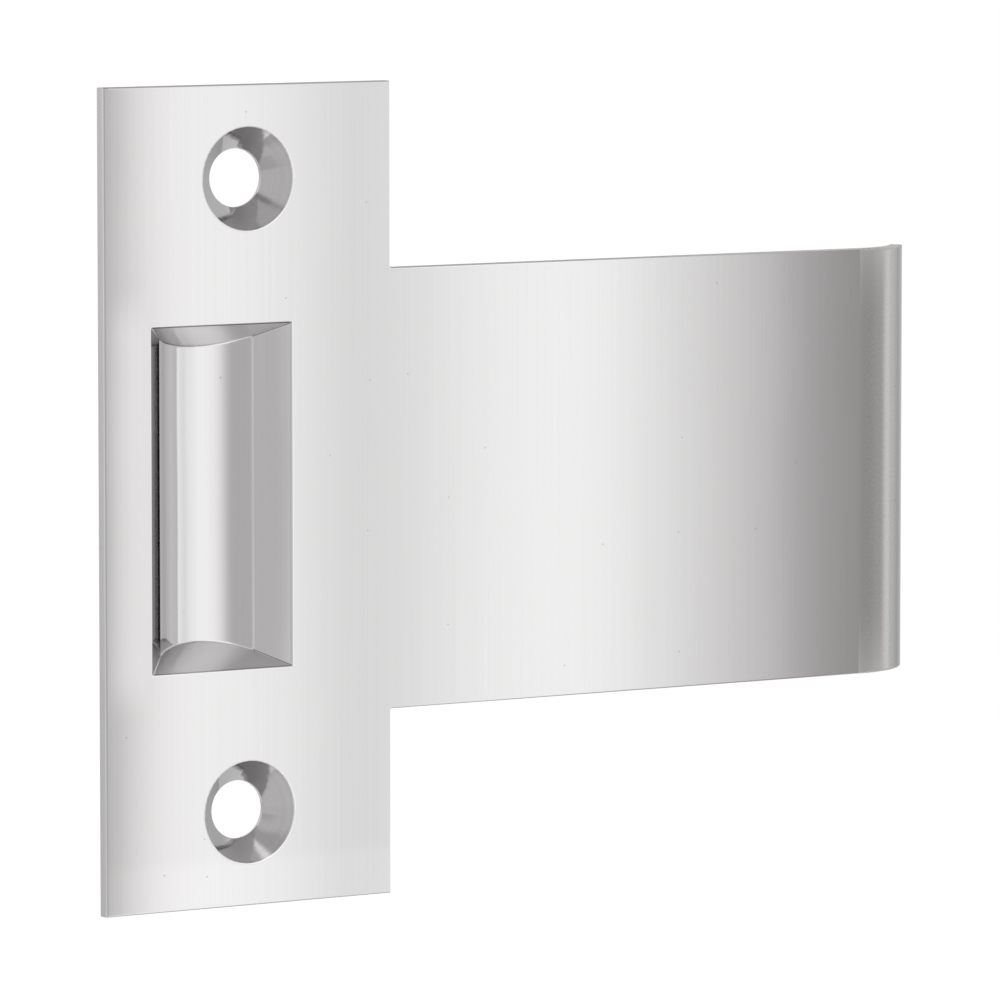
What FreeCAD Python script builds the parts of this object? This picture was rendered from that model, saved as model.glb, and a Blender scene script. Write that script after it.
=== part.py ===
import FreeCAD
import Part
import math
import os

from FreeCAD import Vector

# Door strike plate with a roller pocket, pressed and folded from one sheet.
# X runs along the lip, Y runs into the jamb and Z is up.
# The origin is midway between the screw holes, on the back face that seats on the jamb.
# Lengths are in millimetres and angles in degrees.

# Sheet and its cut edges
SHEET = 1.2
EDGE_RADIUS = 0.18

# Plate
PLATE_HEIGHT = 70.0
PLATE_WIDTH = 28.0

# Lip, flat from the screw line to the curl and then bent back towards the jamb
LIP_HEIGHT = 38.0
LIP_FLAT_REACH = 63.0
LIP_CORNER_RADIUS = 0.2
CURL_INSIDE_RADIUS = 7.0
CURL_ANGLE = 55.0

# Screw holes, each at the foot of a pressed dimple
SCREW_SPACING = 54.0
SCREW_HOLE_DIAMETER = 5.0
SCREW_HOLE_LAND = 0.4
COUNTERSINK_DIAMETER = 8.9
COUNTERSINK_ANGLE = 82.0

# Roller pocket, whose middle lies off the screw line, away from the lip
POCKET_WIDTH = 13.8
POCKET_HEIGHT = 29.5
POCKET_OFFSET = 2.6
POCKET_RAMP_ANGLE = 50.0
POCKET_RAMP_DEPTH = 2.85
POCKET_FLOOR_RADIUS = 6.7
POCKET_END_DRAFT = 25.0
POCKET_CREASE_RADIUS = 0.8
POCKET_CORNER_RADIUS = 0.18

# Where the back of the sheet turns into a pressed form
PRESSED_ROOT_RADIUS = 0.4

# Worked out from the sizes above
FRONT = -SHEET
BACK = 0.0
MOUTH_RADIUS = COUNTERSINK_DIAMETER / 2
HOLE_RADIUS = SCREW_HOLE_DIAMETER / 2
CONE_SLOPE = math.tan(math.radians(COUNTERSINK_ANGLE / 2))
CONE_DEPTH = (MOUTH_RADIUS - HOLE_RADIUS) / CONE_SLOPE
DIMPLE_DEPTH = CONE_DEPTH + SCREW_HOLE_LAND

INTO_JAMB = Vector(0, 1, 0)
UP = Vector(0, 0, 1)
SAME_PLACE = 1e-4


def face_of(points):
    """A flat face with straight sides between these points."""
    return Part.Face(Part.makePolygon(points + points[:1]))


def flat_blank():
    """The T-shaped flat of the sheet: the plate and the straight part of the lip."""
    half_width, half_height = PLATE_WIDTH / 2, PLATE_HEIGHT / 2
    half_lip = LIP_HEIGHT / 2
    upper = [
        (LIP_FLAT_REACH, half_lip),
        (half_width, half_lip),
        (half_width, half_height),
        (-half_width, half_height),
    ]
    lower = [(x, -z) for x, z in reversed(upper)]
    outline = face_of([Vector(x, FRONT, z) for x, z in upper + lower])
    return outline.extrude(INTO_JAMB * SHEET)


def lip_curl():
    """The end of the lip, bent back about an upright axis behind it."""
    half_lip = LIP_HEIGHT / 2
    corners = [(FRONT, -half_lip), (BACK, -half_lip), (BACK, half_lip), (FRONT, half_lip)]
    section = face_of([Vector(LIP_FLAT_REACH, y, z) for y, z in corners])
    bend_centre = Vector(LIP_FLAT_REACH, BACK + CURL_INSIDE_RADIUS, 0)
    return section.revolve(bend_centre, UP, CURL_ANGLE)


def is_skin(face):
    """Whether a face of the bare sheet is rolled skin, and not a wall left by the cut."""
    if isinstance(face.Surface, Part.Cylinder):
        return face.Surface.Radius > LIP_CORNER_RADIUS + SAME_PLACE
    return abs(face.normalAt(0, 0).y) > 1 - SAME_PLACE


def is_lip_corner(edge):
    """Whether an edge of the bare sheet crosses its thickness at a corner of the lip."""
    crosses_sheet = abs(edge.Length - SHEET) < SAME_PLACE
    return crosses_sheet and abs(abs(edge.CenterOfMass.z) - LIP_HEIGHT / 2) < SAME_PLACE


def bare_sheet():
    """The bent sheet before pressing, with its cut edges and the corners of its lip rounded."""
    sheet = flat_blank().fuse(lip_curl()).removeSplitter()
    sheet = sheet.makeFillet(LIP_CORNER_RADIUS, [edge for edge in sheet.Edges if is_lip_corner(edge)])
    skin_edges = [edge for face in sheet.Faces if is_skin(face) for edge in face.Edges]
    wall_edges = [edge for face in sheet.Faces if not is_skin(face) for edge in face.Edges]
    rims = [edge for edge in wall_edges if any(edge.isSame(other) for other in skin_edges)]
    return sheet.makeFillet(EDGE_RADIUS, rims)


def pocket_section(wall):
    """Outline across the pocket, two ramps and a round floor, grown outwards by a wall."""
    half_mouth = POCKET_WIDTH / 2
    half_crease = half_mouth - POCKET_RAMP_DEPTH / math.tan(math.radians(POCKET_RAMP_ANGLE))
    floor_rise = math.sqrt(POCKET_FLOOR_RADIUS**2 - half_crease**2)
    floor_depth = POCKET_RAMP_DEPTH + POCKET_FLOOR_RADIUS - floor_rise
    across = [
        (-half_mouth, 0),
        (-half_crease, POCKET_RAMP_DEPTH),
        (0, floor_depth),
        (half_crease, POCKET_RAMP_DEPTH),
        (half_mouth, 0),
    ]
    left_mouth, left_crease, floor, right_crease, right_mouth = [
        Vector(x - POCKET_OFFSET, FRONT + depth, -POCKET_HEIGHT) for x, depth in across
    ]
    outline = Part.Wire(
        [
            Part.makeLine(left_mouth, left_crease),
            Part.Arc(left_crease, floor, right_crease).toShape(),
            Part.makeLine(right_crease, right_mouth),
            Part.makeLine(right_mouth, left_mouth),
        ]
    )
    mitred = 2
    return outline.makeOffset2D(wall, mitred) if wall else outline


def is_crease(edge):
    """Whether an edge of the pocket is an upright line below its mouth."""
    box = edge.BoundBox
    return box.YMin > FRONT + SAME_PLACE and box.XLength < SAME_PLACE and box.YLength < SAME_PLACE


def is_end_corner(edge):
    """Whether an edge of the pocket runs below its mouth around one of its drafted ends."""
    box = edge.BoundBox
    return box.YMax > FRONT + SAME_PLACE and box.XLength > SAME_PLACE


def pocket_form(wall):
    """The pocket's hollow with its mouth at the front, grown outwards by a wall."""
    trough = Part.Face(pocket_section(wall)).extrude(UP * 2 * POCKET_HEIGHT)
    box = trough.BoundBox
    draft = math.radians(POCKET_END_DRAFT)
    half_mouth = POCKET_HEIGHT / 2 + wall / math.cos(draft)
    half_foot = half_mouth - (box.YMax - FRONT) * math.tan(draft)
    along = [(FRONT, -half_mouth), (box.YMax, -half_foot), (box.YMax, half_foot), (FRONT, half_mouth)]
    between_ends = face_of([Vector(box.XMin, y, z) for y, z in along])
    form = trough.common(between_ends.extrude(Vector(box.XLength, 0, 0)))
    creases = [edge for edge in form.Edges if is_crease(edge)]
    form = form.makeFillet(POCKET_CREASE_RADIUS + wall, creases)
    corners = [edge for edge in form.Edges if is_end_corner(edge)]
    return form.makeFillet(POCKET_CORNER_RADIUS + wall, corners)


def screw_dimple(mouth):
    """Outside of one pressed dimple, a wall thicker than the countersink in it."""
    outside_mouth = MOUTH_RADIUS + SHEET * math.hypot(1, CONE_SLOPE)
    outside_foot = outside_mouth - DIMPLE_DEPTH * CONE_SLOPE
    return Part.makeCone(outside_mouth, outside_foot, DIMPLE_DEPTH, mouth, INTO_JAMB)


def screw_hole(mouth):
    """One countersunk hole, with a straight land at the foot of its cone."""
    cone = Part.makeCone(MOUTH_RADIUS, HOLE_RADIUS, CONE_DEPTH, mouth, INTO_JAMB)
    return cone.fuse(Part.makeCylinder(HOLE_RADIUS, DIMPLE_DEPTH, mouth, INTO_JAMB))


def level_face(shape, depth):
    """The largest flat face of a shape that lies across Y at this depth."""
    flat = [face for face in shape.Faces if isinstance(face.Surface, Part.Plane)]
    level = [face for face in flat if abs(face.CenterOfMass.y - depth) < SAME_PLACE]
    return max(level, key=lambda face: face.Area)


def opening_rims(face):
    """Edges around the openings in a face, without its outer boundary."""
    outer = face.OuterWire
    return [edge for wire in face.Wires if not wire.isSame(outer) for edge in wire.Edges]


def is_dimple_rim(edge):
    """Whether an edge is a whole circle at the foot of a dimple: its outside or an end of the land."""
    if not isinstance(edge.Curve, Part.Circle) or not edge.isClosed():
        return False
    return edge.BoundBox.YMin > FRONT + CONE_DEPTH - SAME_PLACE


def strike_plate():
    """The whole plate: the sheet pressed into a pocket and two dimples, with its rims rounded."""
    mouths = [Vector(0, FRONT, side * SCREW_SPACING / 2) for side in (-1, 1)]
    pressed_forms = [pocket_form(SHEET)] + [screw_dimple(mouth) for mouth in mouths]
    plate = bare_sheet().fuse(pressed_forms).removeSplitter()
    plate = plate.makeFillet(PRESSED_ROOT_RADIUS, opening_rims(level_face(plate, BACK)))
    plate = plate.cut([pocket_form(0)] + [screw_hole(mouth) for mouth in mouths])
    rims = opening_rims(level_face(plate, FRONT))
    rims += [edge for edge in plate.Edges if is_dimple_rim(edge)]
    return plate.makeFillet(EDGE_RADIUS, rims).Solids[0]


os.makedirs("parts", exist_ok=True)
strike_plate().exportStep("parts/strike_plate.step")
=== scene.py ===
import math

import bpy
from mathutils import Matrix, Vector

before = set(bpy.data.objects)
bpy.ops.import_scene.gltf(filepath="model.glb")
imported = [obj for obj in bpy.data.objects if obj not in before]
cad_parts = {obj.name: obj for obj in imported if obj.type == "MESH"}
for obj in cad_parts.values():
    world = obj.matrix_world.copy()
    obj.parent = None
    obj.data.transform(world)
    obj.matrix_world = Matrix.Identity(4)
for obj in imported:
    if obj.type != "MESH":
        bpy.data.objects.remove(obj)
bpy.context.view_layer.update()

MM = 0.001

# Places on the plate that its finish follows, in millimetres
PLATE_LEFT = -14.0
FRONT_FACE = -1.2
SCREW_HOLE_HEIGHT = 27.0
COUNTERSINK_EDGE = (4.55, 4.35)
POCKET_MIDDLE = -2.6
POCKET_HALF_WIDTH = 6.9
POCKET_HALF_HEIGHT = 14.75
POCKET_FOLD = 1.95
POCKET_LEFT_FOLD = -7.15
FOLD_DEPTHS = (1.2, 2.1)
FLOOR_START_DEPTHS = (-1.0, 1.6)
BURNISH_ENDS = (-0.85, -0.65)
POLISHING_STOPS_AT = 62.75
CURL_TURNS_AT = 65.6
WIPED_FROM = 11.5
LIP_HALF_HEIGHT = 19.0

# How far a finish reaches from one of those places, in millimetres
POLISH_EDGE = 0.05
CURL_EDGE = 0.3
RIM_DEPTH = 0.1
LEFT_RIM_WIDTH = 0.5
BELT_LIFT = 6.0
BENT_EDGE = (0.25, 0.15)
FOLD_LINE = 0.1
FLOOR_START = 0.95
TIPPED_FLANGE_ENDS = (4.0, -1.0)
MOUTH_LINE_DEPTH = 0.25

# How squarely a surface faces along Y or Z, from -1 to 1, where one finish gives way to the next
FACE_LIMIT = 0.2
POCKET_END_FACING = (0.5, 0.8)
POCKET_END_SIDES = (-0.5, 0.5)
RAMP_CORNER_FACING = (0.2, 0.35)
BACK_FACING = (0.2, 0.35)
CUT_EDGE_FACING = (0.3, 0.15)
RIM_FACING = (-0.97, -0.9)
LOWER_RIM_FACING = (-0.1, -0.5)

# Camera, in front and to the left of the plate, in millimetres and degrees
CAMERA_AIM = (25.82, 0.0, -1.66)
CAMERA_AZIMUTH = 31.905
CAMERA_ELEVATION = 5.4016
CAMERA_DISTANCE = 689.82
CAMERA_LENS = 286.315
CAMERA_CLIP = (10.0, 40000.0)

# Studio, in millimetres
FLOOR_LEVEL = -200.0
FLOOR_HALF_SIZE = 12000.0
SOFTBOX_GAP = 13.7
SOFTBOX_LEFT = -48.0
SOFTBOX_RIGHT = 330.0
SOFTBOX_HALF_HEIGHT = 180.0
PLAIN_CLOTH = (42.0, 60.0)
CLOTH_FOOT = (-32.5, -34.0)
TENT_RADIUS = 420.0
TENT_TOP = 420.0
TENT_SIDES = 96
LAMP_SIZE = 600.0
LAMP_PLACE = (30.0, -120.0, 700.0)

# Strength of each light
CLOTH_STRENGTH = 1.68
CLOTH_FOOT_STRENGTH = 1.75
TENT_FOOT_STRENGTH = 1.0
TENT_TOP_STRENGTH = 1.93
CEILING_STRENGTH = 1.3
FLOOR_LIFT = 0.62
ROOM_STRENGTH = 0.5
LAMP_POWER = 1.2


def linear(code):
    """Linear colour of an sRGB hex value."""
    shares = [int(code[i : i + 2], 16) / 255 for i in (1, 3, 5)]
    return [c / 12.92 if c <= 0.04045 else ((c + 0.055) / 1.055) ** 2.4 for c in shares] + [1.0]


def add_node(tree, kind, inputs=None, stops=(), **settings):
    """Adds a node with its settings, its ramp's stops, and its inputs as values or links."""
    node = tree.nodes.new("ShaderNode" + kind)
    for name, value in settings.items():
        setattr(node, name, value)
    for socket, value in (inputs or {}).items():
        if isinstance(value, bpy.types.Node):
            value = value.outputs[0]
        if isinstance(value, bpy.types.NodeSocket):
            tree.links.new(value, node.inputs[socket])
        else:
            node.inputs[socket].default_value = value
    for number, (share, colour) in enumerate(stops):
        ramp = node.color_ramp.elements
        stop = ramp[number] if number < 2 else ramp.new(share)
        stop.position = share
        stop.color = linear(colour)
    return node


def new_material(name):
    """An empty node material and its node tree."""
    material = bpy.data.materials.new(name)
    material.use_nodes = True
    material.node_tree.nodes.clear()
    return material, material.node_tree


def pocket_zone(tree, x, height):
    """1 within the roller pocket's outline, 0 elsewhere."""
    from_middle = add_node(tree, "Math", {0: x, 1: POCKET_MIDDLE}, operation="SUBTRACT")
    off_middle = add_node(tree, "Math", {0: from_middle}, operation="ABSOLUTE")
    in_width = add_node(tree, "Math", {0: off_middle, 1: POCKET_HALF_WIDTH}, operation="LESS_THAN")
    in_height = add_node(tree, "Math", {0: height, 1: POCKET_HALF_HEIGHT}, operation="LESS_THAN")
    return add_node(tree, "Math", {0: in_width, 1: in_height}, operation="MULTIPLY")


def polished_stainless_steel():
    """Stainless sheet, sheared, pressed and polished upright on a belt.

    The belt leaves the front a bright, soft mirror with fine upright lines. What it cannot reach
    stays duller: the drawn ends of the pocket, the turned countersinks, the sheared edges, and the
    mill's grey skin on the back and on the end of the lip.
    """
    material, tree = new_material("polished_stainless_steel")
    here = add_node(tree, "TexCoord")
    place = add_node(tree, "VectorMath", {0: here.outputs["Object"], "Scale": 1 / MM}, operation="SCALE")
    x, y, z = add_node(tree, "SeparateXYZ", {"Vector": place}).outputs
    height = add_node(tree, "Math", {0: z}, operation="ABSOLUTE")
    facing = add_node(tree, "SeparateXYZ", {"Vector": here.outputs["Normal"]}).outputs
    facing_y, facing_z = facing["Y"], facing["Z"]
    facing_up = add_node(tree, "Math", {0: facing_z}, operation="ABSOLUTE")
    facing_out = add_node(tree, "Math", {0: facing_y}, operation="ABSOLUTE")
    is_face = add_node(tree, "Math", {0: facing_up, 1: FACE_LIMIT}, operation="LESS_THAN")

    # Ends of the pocket, where the drawn sheet keeps a satin skin, painted pale as sheen
    in_pocket = pocket_zone(tree, x, height)
    faces_end = add_node(
        tree,
        "MapRange",
        {"Value": facing_up, "From Min": POCKET_END_FACING[0], "From Max": POCKET_END_FACING[1]},
    )
    pocket_end = add_node(tree, "Math", {0: in_pocket, 1: faces_end}, operation="MULTIPLY")

    # Countersinks, by their distance from the screw's axis
    from_hole = add_node(tree, "Math", {0: height, 1: SCREW_HOLE_HEIGHT}, operation="SUBTRACT")
    spoke = add_node(tree, "CombineXYZ", {"X": x, "Y": from_hole})
    radius = add_node(tree, "VectorMath", {0: spoke}, operation="LENGTH").outputs["Value"]
    countersink = add_node(
        tree,
        "MapRange",
        {"Value": radius, "From Min": COUNTERSINK_EDGE[0], "From Max": COUNTERSINK_EDGE[1]},
    )

    # Mill skin, on the back and past the line where the belt lifts off the lip
    past_belt = add_node(
        tree,
        "MapRange",
        {
            "Value": x,
            "From Min": POLISHING_STOPS_AT - POLISH_EDGE,
            "From Max": POLISHING_STOPS_AT + POLISH_EDGE,
        },
    )
    on_back = add_node(
        tree,
        "MapRange",
        {"Value": facing_y, "From Min": BACK_FACING[0], "From Max": BACK_FACING[1]},
    )
    mill_skin = add_node(tree, "Math", {0: past_belt, 1: on_back}, operation="MAXIMUM")

    # That skin is lighter towards the corners of the lip, up to where the curl turns away
    to_corner = add_node(
        tree,
        "MapRange",
        {"Value": height, "From Min": WIPED_FROM, "From Max": LIP_HALF_HEIGHT},
    )
    toward_corners = add_node(tree, "Math", {0: to_corner, 1: 2.0}, operation="POWER")
    before_curl = add_node(
        tree,
        "MapRange",
        {"Value": x, "From Min": CURL_TURNS_AT + CURL_EDGE, "From Max": CURL_TURNS_AT - CURL_EDGE},
    )
    unpolished = add_node(tree, "Math", {0: past_belt, 1: before_curl}, operation="MULTIPLY")
    lip_corner = add_node(tree, "Math", {0: toward_corners, 1: unpolished}, operation="MULTIPLY")

    # Sheared edges, burnished behind the front corner and torn to a grey grain behind that
    faces_aside = add_node(
        tree,
        "MapRange",
        {"Value": facing_out, "From Min": CUT_EDGE_FACING[0], "From Max": CUT_EDGE_FACING[1]},
    )
    off_pocket = add_node(tree, "Math", {0: 1.0, 1: in_pocket}, operation="SUBTRACT")
    cut_edge = add_node(tree, "Math", {0: faces_aside, 1: off_pocket}, operation="MULTIPLY")
    behind_burnish = add_node(
        tree,
        "MapRange",
        {"Value": y, "From Min": BURNISH_ENDS[0], "From Max": BURNISH_ENDS[1]},
    )
    torn_edge = add_node(tree, "Math", {0: cut_edge, 1: behind_burnish}, operation="MULTIPLY")

    # Rims of the front, with a painted highlight that fades out where the belt lifts off
    at_front = add_node(tree, "Math", {0: y, 1: FRONT_FACE + RIM_DEPTH}, operation="LESS_THAN")
    faces_off = add_node(
        tree,
        "MapRange",
        {"Value": facing_y, "From Min": RIM_FACING[0], "From Max": RIM_FACING[1]},
    )
    rim_highlight_reach = add_node(
        tree,
        "MapRange",
        {"Value": x, "From Min": POLISHING_STOPS_AT, "From Max": POLISHING_STOPS_AT - BELT_LIFT},
    )
    front_rim = add_node(tree, "Math", {0: at_front, 1: faces_off}, operation="MULTIPLY")
    rim_painted_highlight = add_node(tree, "Math", {0: front_rim, 1: rim_highlight_reach}, operation="MULTIPLY")

    # Rims that face down or lie at the left are painted darker, as shade
    faces_down = add_node(
        tree,
        "MapRange",
        {"Value": facing_z, "From Min": LOWER_RIM_FACING[0], "From Max": LOWER_RIM_FACING[1]},
    )
    lower_rim_painted_shade = add_node(tree, "Math", {0: rim_painted_highlight, 1: faces_down}, operation="MULTIPLY")
    at_left = add_node(tree, "Math", {0: x, 1: PLATE_LEFT + LEFT_RIM_WIDTH}, operation="LESS_THAN")
    left_rim_painted_shade = add_node(tree, "Math", {0: rim_painted_highlight, 1: at_left}, operation="MULTIPLY")

    # Bending roughens the upper and lower edges of the curl
    to_lip_edge = add_node(
        tree,
        "MapRange",
        {
            "Value": height,
            "From Min": LIP_HALF_HEIGHT - BENT_EDGE[0],
            "From Max": LIP_HALF_HEIGHT - BENT_EDGE[1],
        },
    )
    bent_edge = add_node(tree, "Math", {0: past_belt, 1: to_lip_edge}, operation="MULTIPLY")

    # Belt lines are about 0.05 mm apart, drawn here at 0.2 mm so that they show
    line_gap = 0.2
    line_length = 45.0
    pressure_in_pocket = 0.12
    along_belt = add_node(tree, "Mapping", {"Vector": place, "Scale": (1 / line_gap, 0, 1 / line_length)})
    belt_lines = add_node(tree, "TexNoise", {"Vector": along_belt, "Scale": 1.0, "Detail": 2.0})
    out_of_reach = add_node(tree, "Math", {0: mill_skin, 1: pocket_end}, operation="MAXIMUM")
    in_reach = add_node(tree, "Math", {0: 1.0, 1: out_of_reach}, operation="SUBTRACT")
    pressure = add_node(tree, "MapRange", {"Value": in_pocket, "To Min": 1.0, "To Max": pressure_in_pocket})
    pressed = add_node(tree, "Math", {0: in_reach, 1: pressure}, operation="MULTIPLY")
    belted = add_node(tree, "Math", {0: pressed, 1: is_face}, operation="MULTIPLY")

    # Mill grain, and shear grain that runs through the sheet's thickness
    grain_width = 0.15
    shear_width = 0.2
    shear_length = 1.5
    grain = add_node(tree, "TexNoise", {"Vector": place, "Scale": 1 / grain_width, "Detail": 1.0})
    grained = add_node(tree, "Math", {0: mill_skin, 1: is_face}, operation="MULTIPLY")
    through_sheet = add_node(
        tree,
        "Mapping",
        {"Vector": place, "Scale": (1 / shear_width, 1 / shear_length, 1 / shear_width)},
    )
    shear_grain = add_node(tree, "TexNoise", {"Vector": through_sheet, "Scale": 1.0, "Detail": 2.0})

    # Rings of the countersinking cutter, about 0.05 mm apart, drawn at 0.3 mm so that they show
    ring_gap = 0.3
    ring = add_node(tree, "Math", {0: radius, 1: 1 / ring_gap}, operation="MULTIPLY")
    rings = add_node(tree, "TexNoise", {"W": ring, "Scale": 1.0, "Detail": 2.0}, noise_dimensions="1D")

    # Rolled sheet is never quite flat, but swells a little
    swell_width = 18.0
    swell = add_node(tree, "TexNoise", {"Vector": place, "Scale": 1 / swell_width, "Detail": 1.0})

    # Pits and specks up to 0.2 mm wide, in one of every eight squares of the sheet
    pit_square = 4.0
    pit_share = 1 / 8
    pit_radius = 0.1
    pit_foot = 0.04
    face_on = add_node(tree, "CombineXYZ", {"X": x, "Y": z})
    scatter = add_node(
        tree,
        "TexVoronoi",
        {"Vector": face_on, "Scale": 1 / pit_square},
        voronoi_dimensions="2D",
    )
    chance = add_node(tree, "SeparateColor", {"Color": scatter.outputs["Color"]})
    is_pit = add_node(tree, "Math", {0: chance.outputs["Red"], 1: 1 - pit_share}, operation="GREATER_THAN")
    near_pit = add_node(
        tree,
        "MapRange",
        {
            "Value": scatter.outputs["Distance"],
            "From Min": pit_radius / pit_square,
            "From Max": pit_foot / pit_square,
        },
    )
    pit_here = add_node(tree, "Math", {0: is_pit, 1: is_face}, operation="MULTIPLY")
    pit = add_node(tree, "Math", {0: near_pit, 1: pit_here}, operation="MULTIPLY")

    # The press leaves a witness line at the pocket's right fold, flattens the start of its floor at the
    # left fold, and tips the narrow flange beside the pocket
    from_fold = add_node(tree, "Math", {0: x, 1: POCKET_FOLD}, operation="SUBTRACT")
    off_fold = add_node(tree, "Math", {0: from_fold}, operation="ABSOLUTE")
    near_fold = add_node(tree, "MapRange", {"Value": off_fold, "From Min": FOLD_LINE, "From Max": 0.0})
    shallow, deep = FOLD_DEPTHS
    past_mouth = add_node(tree, "Math", {0: y, 1: shallow}, operation="GREATER_THAN")
    above_floor = add_node(tree, "Math", {0: y, 1: deep}, operation="LESS_THAN")
    fold_depth = add_node(tree, "Math", {0: past_mouth, 1: above_floor}, operation="MULTIPLY")
    in_fold = add_node(tree, "Math", {0: in_pocket, 1: fold_depth}, operation="MULTIPLY")
    fold_line = add_node(tree, "Math", {0: near_fold, 1: in_fold}, operation="MULTIPLY")
    off_left_fold = add_node(
        tree,
        "MapRange",
        {"Value": x, "From Min": POCKET_LEFT_FOLD, "From Max": POCKET_LEFT_FOLD + FLOOR_START},
    )
    to_left_fold = add_node(tree, "Math", {0: 1.0, 1: off_left_fold}, operation="SUBTRACT")
    dished = add_node(tree, "Math", {0: to_left_fold, 1: 2.0}, operation="POWER")
    flattened = add_node(tree, "Math", {0: 1.0, 1: dished}, operation="SUBTRACT")
    below_mouth = add_node(
        tree,
        "MapRange",
        {"Value": y, "From Min": FLOOR_START_DEPTHS[0], "From Max": FLOOR_START_DEPTHS[1]},
    )
    on_front = add_node(tree, "Math", {0: 1.0, 1: on_back}, operation="SUBTRACT")
    inside = add_node(tree, "Math", {0: in_pocket, 1: on_front}, operation="MULTIPLY")
    floor_start = add_node(tree, "Math", {0: inside, 1: below_mouth}, operation="MULTIPLY")
    to_flange = add_node(
        tree,
        "MapRange",
        {"Value": x, "From Min": POCKET_MIDDLE - POCKET_HALF_WIDTH, "From Max": PLATE_LEFT},
        interpolation_type="SMOOTHSTEP",
    )
    beside_pocket = add_node(
        tree,
        "MapRange",
        {
            "Value": height,
            "From Min": POCKET_HALF_HEIGHT + TIPPED_FLANGE_ENDS[0],
            "From Max": POCKET_HALF_HEIGHT + TIPPED_FLANGE_ENDS[1],
        },
        interpolation_type="SMOOTHSTEP",
    )

    # A dark line of painted shade runs round each end of the pocket, in its corners at the mouth and beside
    # the ramp
    near_mouth = add_node(tree, "Math", {0: y, 1: FRONT_FACE + MOUTH_LINE_DEPTH}, operation="LESS_THAN")
    painted_shade_at_mouth = add_node(tree, "Math", {0: pocket_end, 1: near_mouth}, operation="MULTIPLY")
    leaves_ramp = add_node(
        tree,
        "MapRange",
        {"Value": facing_up, "From Min": RAMP_CORNER_FACING[0], "From Max": RAMP_CORNER_FACING[1]},
    )
    turns_to_end = add_node(tree, "Math", {0: leaves_ramp, 1: faces_end}, operation="SUBTRACT")
    past_fold = add_node(tree, "Math", {0: x, 1: POCKET_FOLD}, operation="GREATER_THAN")
    by_ramp = add_node(tree, "Math", {0: past_fold, 1: inside}, operation="MULTIPLY")
    painted_shade_by_ramp = add_node(tree, "Math", {0: turns_to_end, 1: by_ramp}, operation="MULTIPLY")

    # Lines and grain rise and sink about the skin's own level, which is the middle of a noise
    skin_level = 0.5
    belt_relief = add_node(tree, "Math", {0: belt_lines, 1: skin_level}, operation="SUBTRACT")
    grain_relief = add_node(tree, "Math", {0: grain, 1: skin_level}, operation="SUBTRACT")

    # Height of each pattern in millimetres, and where on the plate it is
    relief = 0.0
    for pattern, where, rise in (
        (belt_relief, belted, 0.0012),
        (grain_relief, grained, 0.002),
        (shear_grain, torn_edge, 0.0002),
        (rings, countersink, 0.0012),
        (swell, 1.0, 0.12),
        (pit, 1.0, -0.006),
        (fold_line, 1.0, 0.007),
        (flattened, floor_start, 0.06),
        (to_flange, beside_pocket, 0.13),
    ):
        there = add_node(tree, "Math", {0: pattern, 1: where}, operation="MULTIPLY")
        relief = add_node(tree, "Math", {0: there, 1: rise, 2: relief}, operation="MULTIPLY_ADD")
    bump = add_node(tree, "Bump", {"Distance": MM, "Height": relief})

    # Colour and roughness of the belted front, then of every other finish and of the painted highlights and
    # shade over it
    low, high = 0.3, 0.7
    colour = add_node(tree, "ValToRGB", {"Fac": belt_lines}, [(low, "#CBCACA"), (high, "#CDCCCC")])
    roughness = add_node(
        tree,
        "MapRange",
        {"Value": belt_lines, "From Min": low, "From Max": high, "To Min": 0.06, "To Max": 0.1},
    )
    mill_grey = add_node(tree, "ValToRGB", {"Fac": grain}, [(low, "#C5C4C4"), (high, "#CECDCD")])
    # The countersinks' grey is partly their turned finish and partly painted shade for their recess
    ring_grey_and_painted_shade = add_node(tree, "ValToRGB", {"Fac": rings}, [(low, "#B3B2B2"), (high, "#B7B6B6")])
    torn_grey = add_node(tree, "ValToRGB", {"Fac": shear_grain}, [(low, "#C6C5C5"), (high, "#C9C8C8")])
    # The lower end of the pocket, which faces up, is painted greyer than the upper end, as shade
    end_up = add_node(
        tree,
        "MapRange",
        {"Value": facing_z, "From Min": POCKET_END_SIDES[0], "From Max": POCKET_END_SIDES[1]},
    )
    end_painted_sheen_and_shade = add_node(tree, "ValToRGB", {"Fac": end_up}, [(0.0, "#F4F3F3"), (1.0, "#DBDADA")])
    mouth_painted_tones = add_node(tree, "ValToRGB", {"Fac": end_up}, [(0.0, "#8F8E8E"), (1.0, "#B8B7B7")])
    for where, tone, dullness in (
        # Pocket ends, painted pale as sheen, and greyer at the lower end as shade
        (pocket_end, end_painted_sheen_and_shade, 0.34),
        # Countersinks: turned finish, darkened further as painted shade
        (countersink, ring_grey_and_painted_shade, 0.09),
        (past_belt, mill_grey, 0.1),
        (lip_corner, linear("#E6E5E5"), 0.1),
        (on_back, mill_grey, 0.25),
        (cut_edge, linear("#C9C8C8"), 0.16),
        (torn_edge, torn_grey, 0.32),
        # Painted highlight on the front rims
        (rim_painted_highlight, linear("#DCDCDC"), 0.12),
        # Painted shade on the rims at the left and on the rims that face down
        (left_rim_painted_shade, linear("#BDBCBC"), 0.12),
        (lower_rim_painted_shade, linear("#A9A8A8"), 0.12),
        (bent_edge, linear("#CFCECE"), 0.5),
        # The witness line is raised by the bump; its lighter colour is a painted highlight
        (fold_line, linear("#D0CFCF"), 0.1),
        # Painted shade in the corners at the pocket's mouth and beside its ramp
        (painted_shade_at_mouth, mouth_painted_tones, 0.3),
        (painted_shade_by_ramp, linear("#757474"), 0.3),
        (pit, linear("#ABA9A8"), 0.3),
    ):
        colour = add_node(tree, "MixRGB", {"Fac": where, "Color1": colour, "Color2": tone})
        roughness = add_node(tree, "MapRange", {"Value": where, "To Min": roughness, "To Max": dullness})

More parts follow.
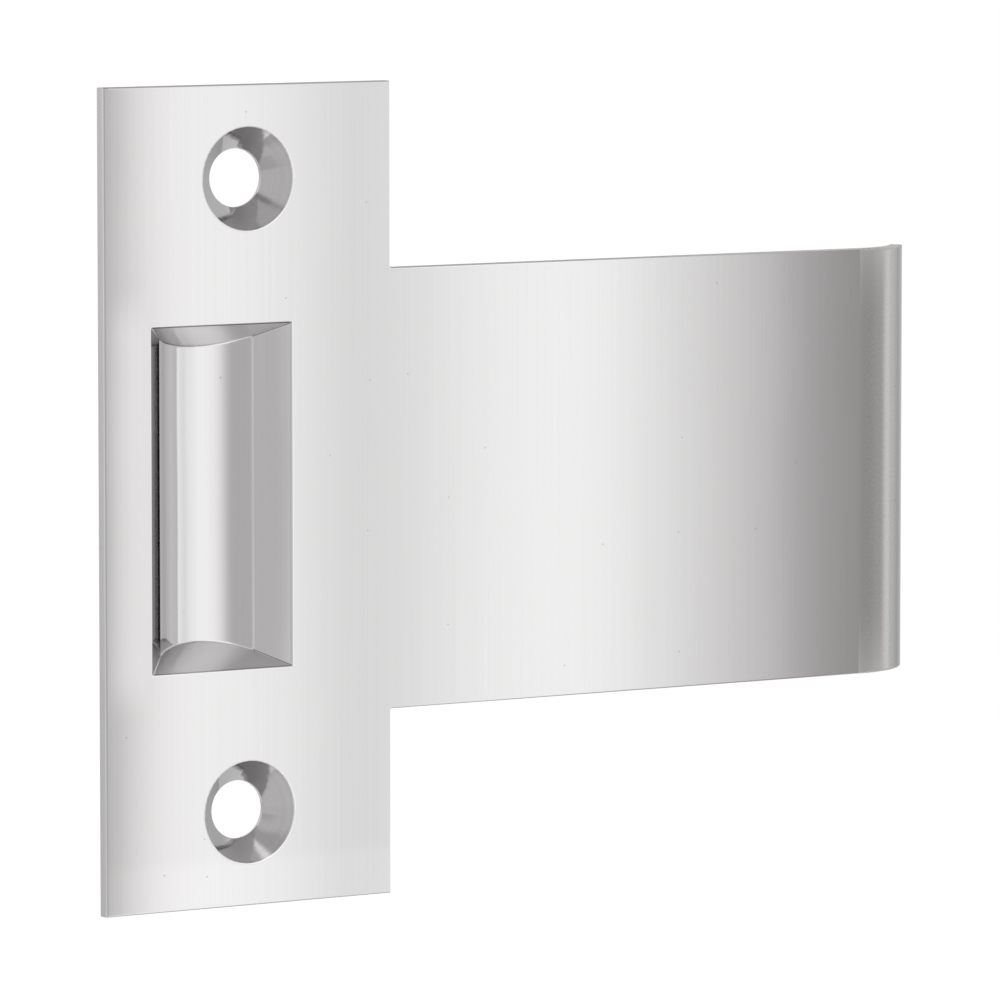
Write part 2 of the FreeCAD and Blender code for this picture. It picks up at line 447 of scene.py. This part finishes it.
    # The specular tint greys the steel a little at glancing angles
    steel = add_node(
        tree,
        "BsdfPrincipled",
        {
            "Base Color": colour,
            "Metallic": 1.0,
            "Specular Tint": linear("#D4D4D4"),
            "Roughness": roughness,
            "Normal": bump,
        },
    )
    add_node(tree, "OutputMaterial", {"Surface": steel})
    return material


def softbox_cloth():
    """Diffuser cloth lit from behind, brighter and dimmer along its width."""
    material, tree = new_material("softbox_cloth")
    place = add_node(tree, "TexCoord").outputs["Object"]
    across = add_node(tree, "SeparateXYZ", {"Vector": place})
    share = add_node(
        tree,
        "MapRange",
        {"Value": across.outputs["X"], "From Min": SOFTBOX_LEFT * MM, "From Max": SOFTBOX_RIGHT * MM},
    )
    # Width along the plate in millimetres, and the cloth's tone there
    tones = [
        (-48, "#ACABAB"),
        (-10, "#A8A7A7"),
        (-6.8, "#AFAEAE"),
        (-5, "#C5C4C4"),
        (-2, "#E0DFDF"),
        (2.5, "#ECECEC"),
        (12, "#E4E4E4"),
        (20, "#D7D7D7"),
        (36, "#ECECEC"),
        (48, "#E3E3E3"),
        (63, "#B6B5B5"),
        (72, "#908E8E"),
        (88, "#959393"),
        (103, "#9F9D9D"),
        (123, "#BDBBBB"),
        (150, "#C5C3C3"),
        (210, "#C6C4C4"),
        (330, "#C0BEBE"),
    ]
    width = SOFTBOX_RIGHT - SOFTBOX_LEFT
    grade = add_node(
        tree,
        "ValToRGB",
        {"Fac": share},
        [((at - SOFTBOX_LEFT) / width, tone) for at, tone in tones],
    )
    grade.color_ramp.interpolation = "CARDINAL"
    # Only plain cloth is left towards the top of the box
    above_lamps = add_node(
        tree,
        "MapRange",
        {"Value": across.outputs["Z"], "From Min": PLAIN_CLOTH[0] * MM, "From Max": PLAIN_CLOTH[1] * MM},
        interpolation_type="SMOOTHSTEP",
    )
    front = add_node(
        tree,
        "MixRGB",
        {"Fac": above_lamps, "Color1": grade, "Color2": linear("#AEADAD")},
    )
    # The left end has a lamp of its own, with a seam over it and a plain strip at its outer edge: tones
    # by height, and the width over which each piece of cloth takes over
    rise = add_node(
        tree,
        "MapRange",
        {
            "Value": across.outputs["Z"],
            "From Min": -SOFTBOX_HALF_HEIGHT * MM,
            "From Max": SOFTBOX_HALF_HEIGHT * MM,
        },
    )
    lamp_tones = [(54, "#BFBEBE"), (62, "#828181"), (68, "#828181"), (76, "#A7A6A6")]
    strip_tones = [(-22, "#BFBEBE"), (-20.5, "#AEADAD"), (11.3, "#AEADAD"), (12.8, "#BFBEBE"), *lamp_tones]
    for heights, start, end in ((lamp_tones, -20, -24), (strip_tones, -29.6, -31.2)):
        stops = [((at / SOFTBOX_HALF_HEIGHT + 1) / 2, code) for at, code in heights]
        cloth = add_node(tree, "ValToRGB", {"Fac": rise}, stops)
        past = add_node(
            tree,
            "MapRange",
            {"Value": across.outputs["X"], "From Min": start * MM, "From Max": end * MM},
        )
        front = add_node(tree, "MixRGB", {"Fac": past, "Color1": front, "Color2": cloth})
    # The floor's light lifts the cloth a little towards its foot
    strength = add_node(
        tree,
        "MapRange",
        {
            "Value": across.outputs["Z"],
            "From Min": CLOTH_FOOT[0] * MM,
            "From Max": CLOTH_FOOT[1] * MM,
            "To Min": CLOTH_STRENGTH,
            "To Max": CLOTH_FOOT_STRENGTH,
        },
        interpolation_type="SMOOTHSTEP",
    )
    glow = add_node(tree, "Emission", {"Color": front, "Strength": strength})
    add_node(tree, "OutputMaterial", {"Surface": glow})
    return material


def tent_cloth():
    """Cloth of the tent round the plate, graded by the bearing from the plate's front."""
    material, tree = new_material("tent_cloth")
    place = add_node(tree, "TexCoord").outputs["Object"]
    split = add_node(tree, "SeparateXYZ", {"Vector": place})
    front = add_node(tree, "Math", {0: split.outputs["Y"], 1: -1.0}, operation="MULTIPLY")
    bearing = add_node(tree, "Math", {0: split.outputs["X"], 1: front}, operation="ARCTAN2")
    share = add_node(tree, "MapRange", {"Value": bearing, "From Min": -math.pi, "From Max": math.pi})
    # Bearing in degrees, and the cloth's tone there
    tones = [
        (-180, "#C8C8C8"),
        (-150, "#DADADA"),
        (-115, "#DADADA"),
        (-95, "#FFFFFF"),
        (-80, "#FFFFFF"),
        (-65, "#C4C4C4"),
        (30, "#C4C4C4"),
        (80, "#D6D6D6"),
        (95, "#D2D2D2"),
        (109, "#C4C4C4"),
        (120, "#DEDEDE"),
        (136, "#DEDEDE"),
        (142, "#A2A2A2"),
        (154, "#A2A2A2"),
        (160, "#BCBCBC"),
        (180, "#C8C8C8"),
    ]
    grade = add_node(tree, "ValToRGB", {"Fac": share}, [((turn + 180) / 360, tone) for turn, tone in tones])
    # The lamp overhead makes the cloth brighter towards its top
    strength = add_node(
        tree,
        "MapRange",
        {
            "Value": split.outputs["Z"],
            "From Min": FLOOR_LEVEL * MM,
            "From Max": TENT_TOP * MM,
            "To Min": TENT_FOOT_STRENGTH,
            "To Max": TENT_TOP_STRENGTH,
        },
    )
    glow = add_node(tree, "Emission", {"Color": grade, "Strength": strength})
    add_node(tree, "OutputMaterial", {"Surface": glow})
    return material


def ceiling_cloth():
    """Grey cloth laid over the tent, so that the metal mirrors no bare lamp from above."""
    material, tree = new_material("ceiling_cloth")
    glow = add_node(tree, "Emission", {"Color": linear("#A5A5A5"), "Strength": CEILING_STRENGTH})
    add_node(tree, "OutputMaterial", {"Surface": glow})
    return material


def seen_directly(tree):
    """1 where the camera sees a surface itself or mirrored in metal, 0 for the light that it gives."""
    path = add_node(tree, "LightPath")
    mirrored = add_node(
        tree,
        "Math",
        {0: path.outputs["Is Glossy Ray"], 1: path.outputs["Is Transmission Ray"]},
        operation="MAXIMUM",
    )
    return add_node(tree, "Math", {0: path.outputs["Is Camera Ray"], 1: mirrored}, operation="MAXIMUM")


def white_floor_paint():
    """Matt white floor, lifted to plain white where it is seen, that still takes a shadow."""
    material, tree = new_material("white_floor_paint")
    matt = add_node(tree, "BsdfDiffuse", {"Color": linear("#E6E6E6")})
    lift = add_node(tree, "Math", {0: seen_directly(tree), 1: FLOOR_LIFT}, operation="MULTIPLY")
    glow = add_node(tree, "Emission", {"Color": linear("#FFFFFF"), "Strength": lift})
    paint = add_node(tree, "AddShader", {0: matt, 1: glow})
    # From below, the floor is left out of the way
    underside = add_node(tree, "NewGeometry").outputs["Backfacing"]
    clear = add_node(tree, "BsdfTransparent")
    floor = add_node(tree, "MixShader", {0: underside, 1: paint, 2: clear})
    add_node(tree, "OutputMaterial", {"Surface": floor})
    return material


def stage_mesh(name, points, faces, material):
    """A studio piece that is no part of the plate, made from points in millimetres."""
    mesh = bpy.data.meshes.new(name)
    mesh.from_pydata([Vector(point) * MM for point in points], [], faces)
    mesh.materials.append(material)
    piece = bpy.data.objects.new(name, mesh)
    bpy.context.scene.collection.objects.link(piece)
    return piece


def light_by_reflection_only(piece):
    """Leaves a studio light to the metal's reflections, out of the picture and casting no shadow."""
    piece.visible_camera = False
    piece.visible_diffuse = False
    piece.visible_shadow = False


def studio_floor():
    """The plain floor, far enough down that the plate does not mirror it."""
    half = FLOOR_HALF_SIZE
    corners = [(x, y, FLOOR_LEVEL) for x, y in ((-half, -half), (half, -half), (half, half), (-half, half))]
    stage_mesh("studio_floor", corners, [(0, 1, 2, 3)], white_floor_paint())


def front_softbox():
    """The softbox that the plate's face mirrors, close in front of it."""
    left, right, half = SOFTBOX_LEFT, SOFTBOX_RIGHT, SOFTBOX_HALF_HEIGHT
    depth = FRONT_FACE - SOFTBOX_GAP
    corners = [(x, depth, z) for x, z in ((left, -half), (right, -half), (right, half), (left, half))]
    light_by_reflection_only(stage_mesh("front_softbox", corners, [(0, 1, 2, 3)], softbox_cloth()))


def light_tent():
    """A tent of pale cloth round the plate, which gives the metal its greys."""
    sides = TENT_SIDES
    turns = [2 * math.pi * side / sides for side in range(sides)]
    ring = [(TENT_RADIUS * math.sin(turn), -TENT_RADIUS * math.cos(turn)) for turn in turns]
    points = [(x, y, FLOOR_LEVEL) for x, y in ring] + [(x, y, TENT_TOP) for x, y in ring]
    faces = [(i, (i + 1) % sides, sides + (i + 1) % sides, sides + i) for i in range(sides)]
    light_by_reflection_only(stage_mesh("light_tent", points, faces, tent_cloth()))
    roof = [(x, y, TENT_TOP) for x, y in ring]
    light_by_reflection_only(stage_mesh("tent_ceiling", roof, [tuple(range(sides))], ceiling_cloth()))


def overhead_lamp():
    """A wide soft lamp above the plate, which lays its shadow on the floor."""
    data = bpy.data.lights.new("overhead_lamp", "AREA")
    data.shape = "SQUARE"
    data.size = LAMP_SIZE * MM
    data.energy = LAMP_POWER
    lamp = bpy.data.objects.new("overhead_lamp", data)
    lamp.location = Vector(LAMP_PLACE) * MM
    lamp.visible_glossy = False
    bpy.context.scene.collection.objects.link(lamp)


def white_surroundings():
    """The room: plain white where it is seen, and an even soft light."""
    world = bpy.data.worlds.new("white_surroundings")
    world.use_nodes = True
    tree = world.node_tree
    tree.nodes.clear()
    level = add_node(
        tree,
        "MapRange",
        {"Value": seen_directly(tree), "To Min": ROOM_STRENGTH, "To Max": 1.0},
    )
    white = add_node(tree, "Background", {"Color": linear("#FFFFFF"), "Strength": level})
    add_node(tree, "OutputWorld", {"Surface": white})
    bpy.context.scene.world = world


def camera():
    """The camera, from the front left and a little above."""
    data = bpy.data.cameras.new("camera")
    data.lens = CAMERA_LENS
    data.clip_start, data.clip_end = [reach * MM for reach in CAMERA_CLIP]
    azimuth = math.radians(-CAMERA_AZIMUTH)
    elevation = math.radians(CAMERA_ELEVATION)
    level = math.cos(elevation)
    back = Vector((math.sin(azimuth) * level, -math.cos(azimuth) * level, math.sin(elevation)))
    seat = bpy.data.objects.new("camera", data)
    seat.location = (Vector(CAMERA_AIM) + back * CAMERA_DISTANCE) * MM
    seat.rotation_mode = "QUATERNION"
    seat.rotation_quaternion = (-back).to_track_quat("-Z", "Y")
    bpy.context.scene.collection.objects.link(seat)
    bpy.context.scene.camera = seat


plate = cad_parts["strike_plate"]
plate.material_slots[0].material = polished_stainless_steel()

studio_floor()
front_softbox()
light_tent()
overhead_lamp()
white_surroundings()
camera()
bpy.context.scene.view_settings.view_transform = "Standard"
